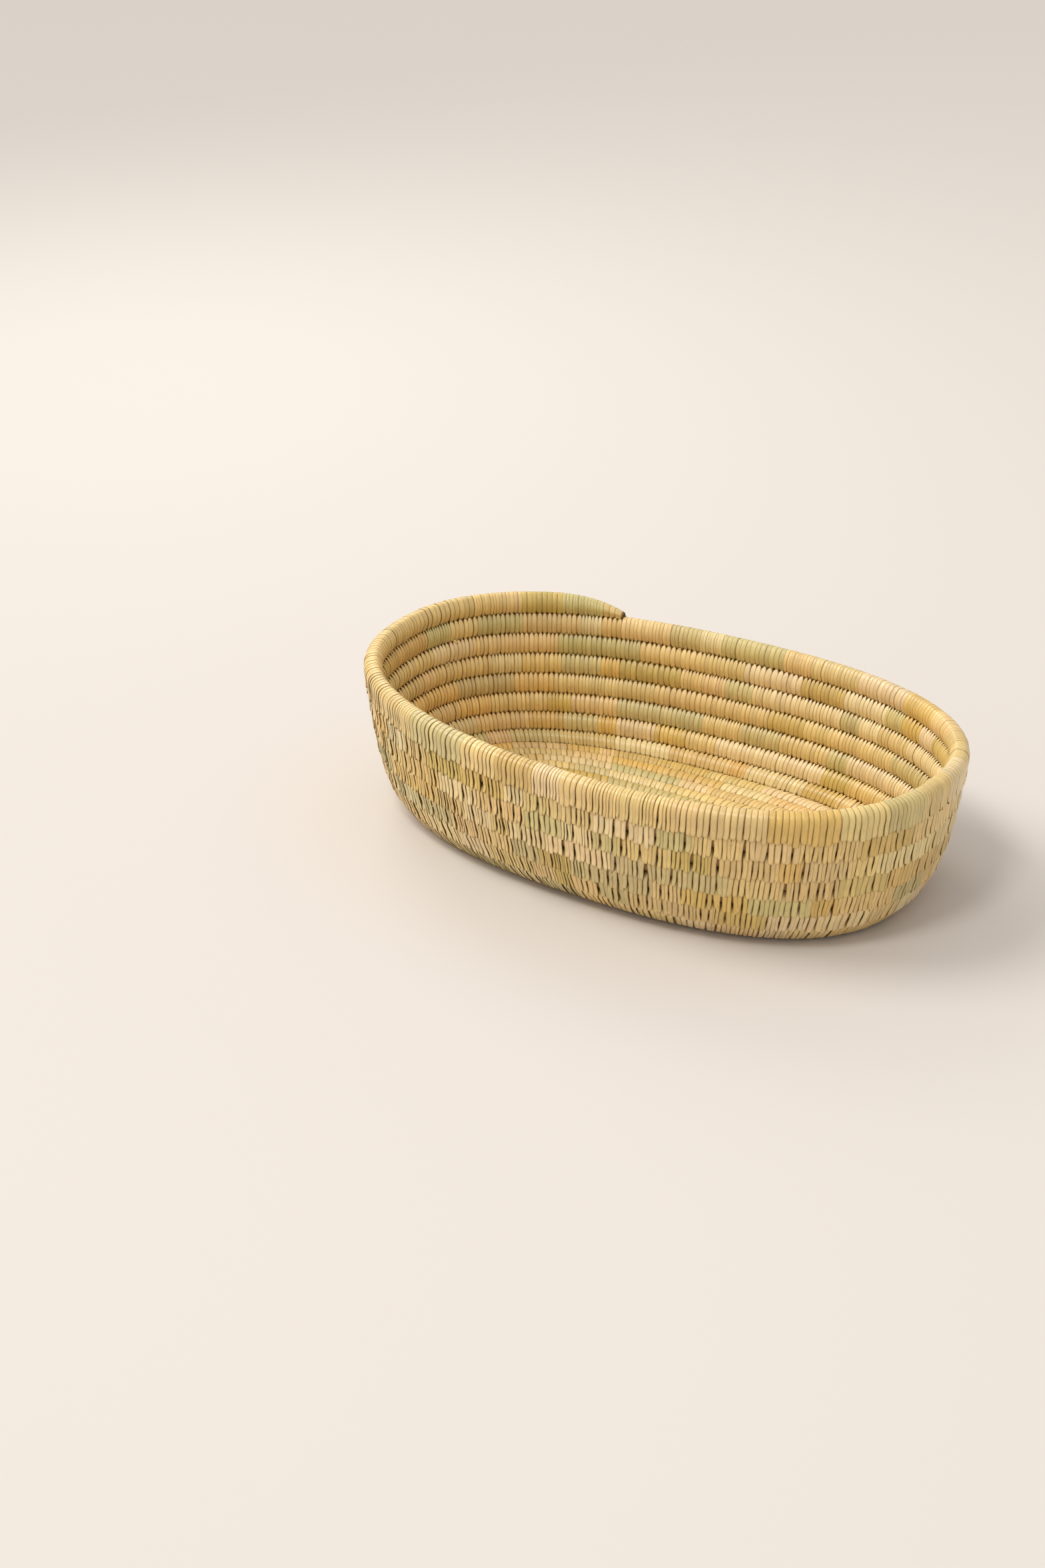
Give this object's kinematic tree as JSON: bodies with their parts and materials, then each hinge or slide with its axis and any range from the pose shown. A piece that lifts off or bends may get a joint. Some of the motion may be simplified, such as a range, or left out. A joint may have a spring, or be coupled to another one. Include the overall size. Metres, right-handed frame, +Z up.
{
  "type": "coiled banneton basket",
  "caption": "Oval coiled grass basket with a flat floor and a low flared wall, for proofing and serving bread.",
  "frame": {"origin": "centre of the basket's bounding box in plan, on the surface that it stands on", "axes": "+X along the basket's long side towards its wider end, +Z up out of its mouth, +Y to the long side where the coil ends"},
  "size_m": [0.4023, 0.2515, 0.1053],
  "materials": {
    "palm_leaf": "satin",
    "grass_core": "matte"
  },
  "bodies": {
    "root": {"floor_bar_core": "grass_core", "floor_bar_binding": "palm_leaf", "floor_round_1_core": "grass_core", "floor_round_1_binding": "palm_leaf", "floor_round_2_core": "grass_core", "floor_round_2_binding": "palm_leaf", "floor_round_3_core": "grass_core", "floor_round_3_binding": "palm_leaf", "floor_round_4_core": "grass_core", "floor_round_4_binding": "palm_leaf", "floor_round_5_core": "grass_core", "floor_round_5_binding": "palm_leaf", "floor_round_6_core": "grass_core", "floor_round_6_binding": "palm_leaf", "floor_round_7_core": "grass_core", "floor_round_7_binding": "palm_leaf", "floor_round_8_core": "grass_core", "floor_round_8_binding": "palm_leaf", "corner_round_core": "grass_core", "corner_round_binding": "palm_leaf", "wall_round_1_core": "grass_core", "wall_round_1_binding": "palm_leaf", "wall_round_2_core": "grass_core", "wall_round_2_binding": "palm_leaf", "wall_round_3_core": "grass_core", "wall_round_3_binding": "palm_leaf", "wall_round_4_core": "grass_core", "wall_round_4_binding": "palm_leaf", "wall_round_5_core": "grass_core", "wall_round_5_binding": "palm_leaf", "wall_round_6_core": "grass_core", "wall_round_6_binding": "palm_leaf", "rim_round_core": "grass_core", "rim_round_binding": "palm_leaf", "rim_tail_core": "grass_core", "rim_tail_binding": "palm_leaf"}
  },
  "joints": []
}
